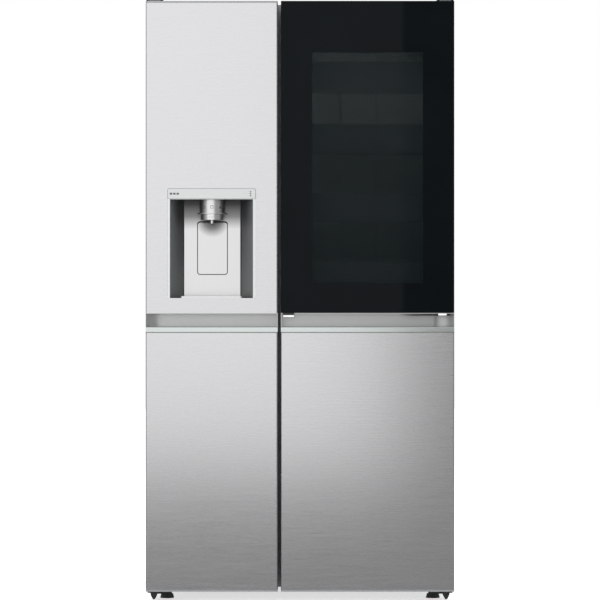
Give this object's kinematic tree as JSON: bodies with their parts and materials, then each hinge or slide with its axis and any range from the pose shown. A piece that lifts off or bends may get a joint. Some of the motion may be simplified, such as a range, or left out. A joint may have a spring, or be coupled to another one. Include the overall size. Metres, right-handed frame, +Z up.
{
  "type": "side by side refrigerator",
  "caption": "Side by side refrigerator with a freezer door that has an ice and water dispenser and a fridge door with a black glass door-in-door.",
  "frame": {"origin": "centre of the footprint at the floor", "axes": "+X to the right seen from the front, +Y to the rear, +Z up"},
  "size_m": [0.913, 0.735, 1.79],
  "materials": {
    "base_frame": "satin",
    "bottom_hinges": "satin",
    "chute_flap": "satin",
    "compartment_liners": "satin",
    "compressor": "satin",
    "condenser_coil": "satin",
    "condenser_fan": "matte",
    "condenser_fan_shroud": "matte",
    "crisper_lower": "gloss",
    "crisper_upper": "gloss",
    "dispenser_back_panel": "satin",
    "dispenser_control_bar": "satin",
    "dispenser_housing": "satin",
    "dispenser_paddle": "satin",
    "drip_tray": "satin",
    "evaporator": "satin",
    "evaporator_cover": "satin",
    "evaporator_fan": "satin",
    "foam_core": "matte",
    "foot_and_roller_brackets": "satin",
    "freezer_door_bins": "gloss",
    "freezer_door_core": "matte",
    "freezer_door_gasket": "matte",
    "freezer_door_liner": "satin",
    "freezer_door_panels": "satin",
    "freezer_drawer_lower": "gloss",
    "freezer_drawer_upper": "gloss",
    "freezer_handle_pocket": "satin",
    "freezer_handle_trim": "gloss",
    "fridge_air_duct": "satin",
    "fridge_door_bins": "gloss",
    "fridge_door_core": "matte",
    "fridge_door_frame": "satin",
    "fridge_door_gasket": "matte",
    "fridge_door_lower_panel": "satin",
    "fridge_handle_pocket": "satin",
    "fridge_handle_trim": "gloss",
    "glass_door_frame": "satin",
    "glass_door_gasket": "matte",
    "glass_door_hinges": "satin",
    "glass_door_latch": "satin",
    "glass_door_panes": "gloss",
    "hinge_covers": "satin",
    "ice_auger": "satin",
    "ice_bin": "gloss",
    "ice_maker": "gloss",
    "led_lamps": "gloss",
    "levelling_foot_left": "matte",
    "levelling_foot_right": "matte",
    "nozzle_housing": "satin",
    "outer_case": "satin",
    "rear_cover": "satin",
    "rear_roller_left": "matte",
    "rear_roller_right": "matte",
    "selector_button": "satin",
    "shelf_glass": "gloss",
    "shelf_trims_and_rails": "satin",
    "top_hinges": "satin",
    "water_filter": "satin",
    "water_valve": "satin"
  },
  "bodies": {
    "cabinet": {"outer_case": "outer_case", "compartment_liners": "compartment_liners", "foam_core": "foam_core", "base_frame": "base_frame", "foot_and_roller_brackets": "foot_and_roller_brackets", "top_hinges": "top_hinges", "hinge_covers": "hinge_covers", "bottom_hinges": "bottom_hinges", "compressor": "compressor", "condenser_coil": "condenser_coil", "condenser_fan_shroud": "condenser_fan_shroud", "rear_cover": "rear_cover", "water_valve": "water_valve", "evaporator": "evaporator", "evaporator_cover": "evaporator_cover", "fridge_air_duct": "fridge_air_duct", "shelf_glass": "shelf_glass", "shelf_trims_and_rails": "shelf_trims_and_rails", "led_lamps": "led_lamps", "water_filter": "water_filter"},
    "freezer_door": {"freezer_door_panels": "freezer_door_panels", "freezer_handle_pocket": "freezer_handle_pocket", "freezer_handle_trim": "freezer_handle_trim", "freezer_door_core": "freezer_door_core", "freezer_door_liner": "freezer_door_liner", "freezer_door_gasket": "freezer_door_gasket", "freezer_door_bins": "freezer_door_bins", "ice_bin": "ice_bin", "ice_maker": "ice_maker", "dispenser_housing": "dispenser_housing", "dispenser_control_bar": "dispenser_control_bar", "dispenser_back_panel": "dispenser_back_panel", "nozzle_housing": "nozzle_housing"},
    "fridge_door": {"fridge_door_lower_panel": "fridge_door_lower_panel", "fridge_handle_pocket": "fridge_handle_pocket", "fridge_handle_trim": "fridge_handle_trim", "fridge_door_core": "fridge_door_core", "fridge_door_frame": "fridge_door_frame", "fridge_door_gasket": "fridge_door_gasket", "fridge_door_bins": "fridge_door_bins", "glass_door_hinges": "glass_door_hinges"},
    "glass_door": {"glass_door_panes": "glass_door_panes", "glass_door_frame": "glass_door_frame", "glass_door_gasket": "glass_door_gasket"},
    "levelling_foot_left": {"levelling_foot_left": "levelling_foot_left"},
    "levelling_foot_right": {"levelling_foot_right": "levelling_foot_right"},
    "rear_roller_left": {"rear_roller_left": "rear_roller_left"},
    "rear_roller_right": {"rear_roller_right": "rear_roller_right"},
    "condenser_fan": {"condenser_fan": "condenser_fan"},
    "evaporator_fan": {"evaporator_fan": "evaporator_fan"},
    "crisper_lower": {"crisper_lower": "crisper_lower"},
    "crisper_upper": {"crisper_upper": "crisper_upper"},
    "freezer_drawer_lower": {"freezer_drawer_lower": "freezer_drawer_lower"},
    "freezer_drawer_upper": {"freezer_drawer_upper": "freezer_drawer_upper"},
    "ice_auger": {"ice_auger": "ice_auger"},
    "selector_button": {"selector_button": "selector_button"},
    "dispenser_paddle": {"dispenser_paddle": "dispenser_paddle"},
    "chute_flap": {"chute_flap": "chute_flap"},
    "drip_tray": {"drip_tray": "drip_tray"},
    "glass_door_latch": {"glass_door_latch": "glass_door_latch"}
  },
  "joints": [
    {"name": "freezer_door_hinge", "type": "hinge", "parent": "cabinet", "child": "freezer_door", "pos_m": [-0.4315, -0.3225, 0.9], "axis": [0, 0, -1], "range_deg": [0, 115]},
    {"name": "fridge_door_hinge", "type": "hinge", "parent": "cabinet", "child": "fridge_door", "pos_m": [0.4315, -0.3225, 0.9], "axis": [0, 0, 1], "range_deg": [0, 115]},
    {"name": "glass_door_hinge", "type": "hinge", "parent": "fridge_door", "child": "glass_door", "pos_m": [0.4445, -0.3475, 1.3], "axis": [0, 0, 1], "range_deg": [0, 95]},
    {"name": "glass_door_latch_press", "type": "slide", "parent": "glass_door", "child": "glass_door_latch", "axis": [0, 0, 1], "range_m": [0, 0.0025], "stiffness_N_per_m": 400, "springref_m": -0.0005},
    {"name": "paddle_hinge", "type": "hinge", "parent": "freezer_door", "child": "dispenser_paddle", "pos_m": [-0.26135, -0.2883, 1.127], "axis": [1, 0, 0], "range_deg": [0, 5.5], "stiffness_Nm_per_rad": 2, "springref_deg": -2.86},
    {"name": "chute_flap_hinge", "type": "hinge", "parent": "freezer_door", "child": "chute_flap", "pos_m": [-0.26135, -0.3215, 1.163], "axis": [-1, 0, 0], "range_deg": [0, 40]},
    {"name": "selector_press", "type": "slide", "parent": "freezer_door", "child": "selector_button", "axis": [0, 1, 0], "range_m": [0, 0.0015], "stiffness_N_per_m": 600, "springref_m": -0.0005},
    {"name": "drip_tray_slide", "type": "slide", "parent": "freezer_door", "child": "drip_tray", "axis": [0, -1, 0], "range_m": [0, 0.05]},
    {"name": "ice_auger_spin", "type": "hinge", "parent": "freezer_door", "child": "ice_auger", "pos_m": [-0.3715, -0.2235, 1.33], "axis": [1, 0, 0], "continuous": true},
    {"name": "condenser_fan_spin", "type": "hinge", "parent": "cabinet", "child": "condenser_fan", "pos_m": [-0.09, 0.24, 0.165], "axis": [1, 0, 0], "continuous": true},
    {"name": "evaporator_fan_spin", "type": "hinge", "parent": "cabinet", "child": "evaporator_fan", "pos_m": [-0.2425, 0.224, 1.13], "axis": [0, 1, 0], "continuous": true},
    {"name": "levelling_foot_left_screw", "type": "hinge", "parent": "cabinet", "child": "levelling_foot_left", "pos_m": [-0.4, -0.2205, 0.02], "axis": [0, 0, 1], "continuous": true},
    {"name": "rear_roller_left_spin", "type": "hinge", "parent": "cabinet", "child": "rear_roller_left", "pos_m": [-0.4, 0.3, 0.022], "axis": [1, 0, 0], "continuous": true},
    {"name": "levelling_foot_right_screw", "type": "hinge", "parent": "cabinet", "child": "levelling_foot_right", "pos_m": [0.4, -0.2205, 0.02], "axis": [0, 0, 1], "continuous": true},
    {"name": "rear_roller_right_spin", "type": "hinge", "parent": "cabinet", "child": "rear_roller_right", "pos_m": [0.4, 0.3, 0.022], "axis": [1, 0, 0], "continuous": true},
    {"name": "crisper_lower_slide", "type": "slide", "parent": "cabinet", "child": "crisper_lower", "axis": [0, -1, 0], "range_m": [0, 0.15]},
    {"name": "crisper_upper_slide", "type": "slide", "parent": "cabinet", "child": "crisper_upper", "axis": [0, -1, 0], "range_m": [0, 0.15]},
    {"name": "freezer_drawer_lower_slide", "type": "slide", "parent": "cabinet", "child": "freezer_drawer_lower", "axis": [0, -1, 0], "range_m": [0, 0.15]},
    {"name": "freezer_drawer_upper_slide", "type": "slide", "parent": "cabinet", "child": "freezer_drawer_upper", "axis": [0, -1, 0], "range_m": [0, 0.15]}
  ],
  "couplings": [
    {"joint": "chute_flap_hinge", "follows": "paddle_hinge", "ratio": 7.2},
    {"joint": "crisper_lower_slide", "follows": "fridge_door_hinge", "m_per_rad": 0.074},
    {"joint": "crisper_upper_slide", "follows": "fridge_door_hinge", "m_per_rad": 0.074},
    {"joint": "freezer_drawer_lower_slide", "follows": "freezer_door_hinge", "m_per_rad": 0.074},
    {"joint": "freezer_drawer_upper_slide", "follows": "freezer_door_hinge", "m_per_rad": 0.074}
  ]
}
